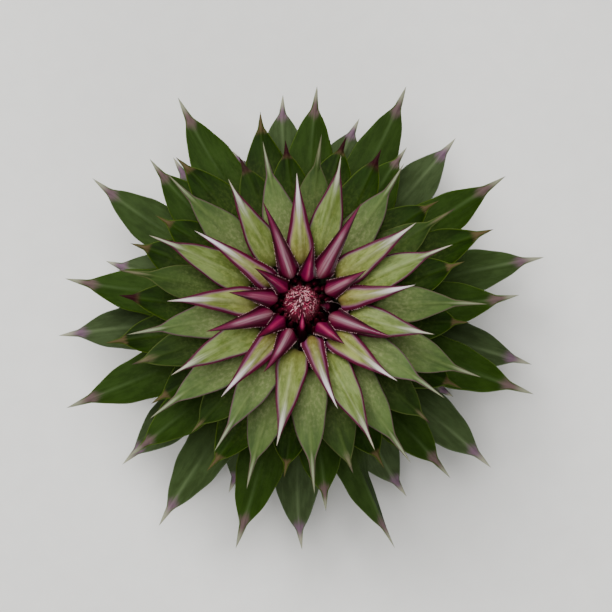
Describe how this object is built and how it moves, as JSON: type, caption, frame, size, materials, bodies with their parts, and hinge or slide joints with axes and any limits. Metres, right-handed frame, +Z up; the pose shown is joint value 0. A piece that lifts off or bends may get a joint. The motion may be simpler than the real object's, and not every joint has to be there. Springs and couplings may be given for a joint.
{
  "type": "thistle bud",
  "caption": "Flower head of a nodding thistle in bud, cut just below the head: spiny bracts in a golden-angle spiral, maroon in the middle and green outside, round a crimson tip.",
  "frame": {"origin": "under the middle of the head, on the surface that it rests on", "axes": "+Z up along the stalk and out of the bud's tip; +Y is the side shown uppermost when the bud is seen from above"},
  "size_m": [0.052, 0.0494, 0.027],
  "materials": {
    "receptacle_flesh": "matt, ribbed and thinly downy",
    "floret_tips": "satin, with pale hairs",
    "maroon_bract": "satin, with a pale pink midrib",
    "striped_bract": "satin, white midrib and spine, purple edges",
    "green_bract": "matt, finely nerved, pale spine",
    "outer_bract": "matt, finely nerved, mauve spine"
  },
  "bodies": {
    "root": {"receptacle": "receptacle_flesh", "floret_cluster": "floret_tips", "bract_00": "maroon_bract", "bract_01": "maroon_bract", "bract_02": "maroon_bract", "bract_03": "maroon_bract", "bract_04": "maroon_bract", "bract_05": "maroon_bract", "bract_06": "maroon_bract", "bract_07": "maroon_bract", "bract_08": "maroon_bract", "bract_09": "maroon_bract", "bract_10": "maroon_bract", "bract_11": "maroon_bract", "bract_12": "maroon_bract", "bract_13": "striped_bract", "bract_14": "striped_bract", "bract_15": "striped_bract", "bract_16": "striped_bract", "bract_17": "striped_bract", "bract_18": "striped_bract", "bract_19": "striped_bract", "bract_20": "striped_bract", "bract_21": "striped_bract", "bract_22": "striped_bract", "bract_23": "striped_bract", "bract_24": "striped_bract", "bract_25": "striped_bract", "bract_26": "striped_bract", "bract_27": "striped_bract", "bract_28": "striped_bract", "bract_29": "green_bract", "bract_30": "green_bract", "bract_31": "green_bract", "bract_32": "green_bract", "bract_33": "green_bract", "bract_34": "green_bract", "bract_35": "green_bract", "bract_36": "green_bract", "bract_37": "green_bract", "bract_38": "green_bract", "bract_39": "green_bract", "bract_40": "green_bract", "bract_41": "green_bract", "bract_42": "green_bract", "bract_43": "green_bract", "bract_44": "green_bract", "bract_45": "green_bract", "bract_46": "green_bract", "bract_47": "green_bract", "bract_48": "green_bract", "bract_49": "green_bract", "bract_50": "green_bract", "bract_row_1": "green_bract", "bract_row_2": "green_bract", "bract_row_3": "outer_bract", "bract_row_4": "outer_bract", "bract_row_5": "outer_bract", "bract_row_6": "outer_bract", "bract_row_7": "outer_bract"}
  },
  "joints": []
}
